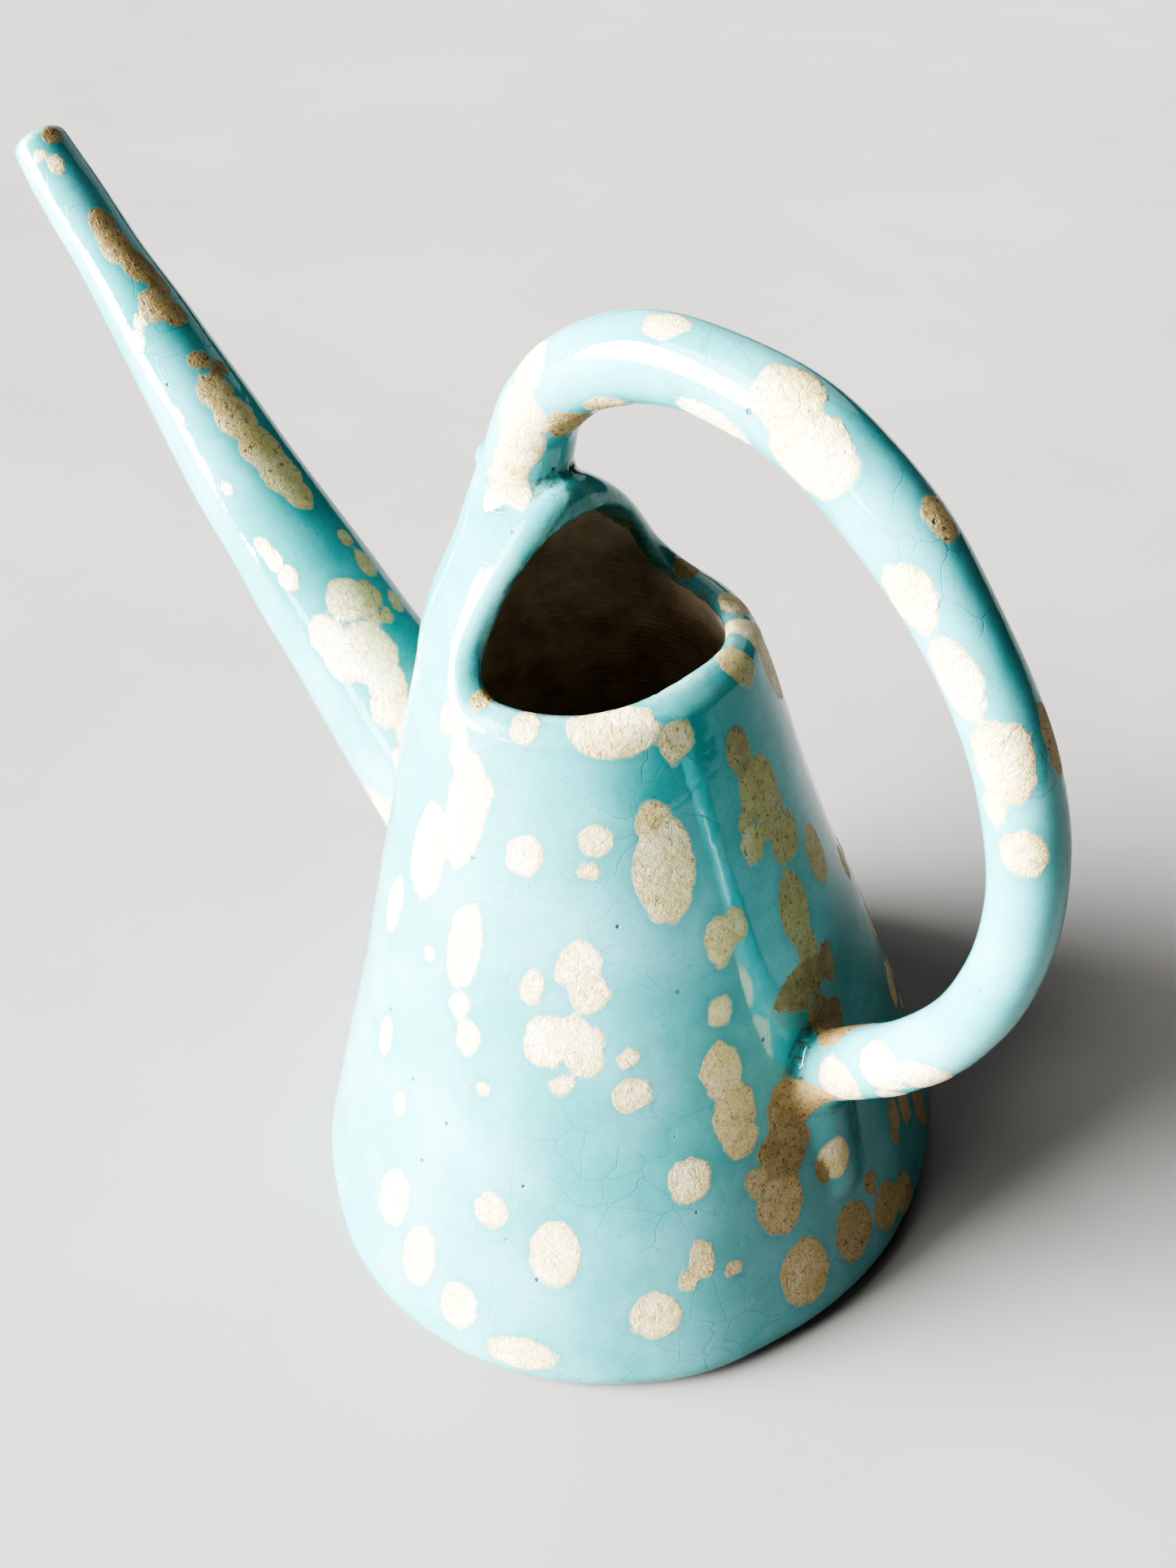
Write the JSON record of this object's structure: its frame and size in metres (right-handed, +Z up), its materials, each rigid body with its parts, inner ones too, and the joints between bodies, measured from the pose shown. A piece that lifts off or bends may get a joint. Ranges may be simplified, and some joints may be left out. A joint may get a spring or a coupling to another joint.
{
  "type": "watering can",
  "caption": "Hand-built glazed ceramic watering can: leaning oval cone body, half-hooded mouth, tall tapered spout and looped round handle.",
  "frame": {"origin": "centre of the flat underside, where the can rests", "axes": "+Z up; the spout points to -X and the handle is on the +X side; y = 0 is the middle plane"},
  "size_m": [0.2808, 0.1586, 0.2082],
  "materials": {
    "turquoise_glaze": "gloss turquoise glaze with cream and ochre matte blotches",
    "bare_clay": "unglazed buff clay"
  },
  "bodies": {
    "root": {"base_slab": "bare_clay", "body_wall": "turquoise_glaze", "rim_lip": "turquoise_glaze", "hood": "turquoise_glaze", "handle_upper_root": "turquoise_glaze", "handle_loop": "turquoise_glaze", "handle_lower_root": "turquoise_glaze", "handle_tail": "turquoise_glaze", "spout_tube": "turquoise_glaze", "spout_lip": "turquoise_glaze", "spout_collar": "turquoise_glaze"}
  },
  "joints": []
}
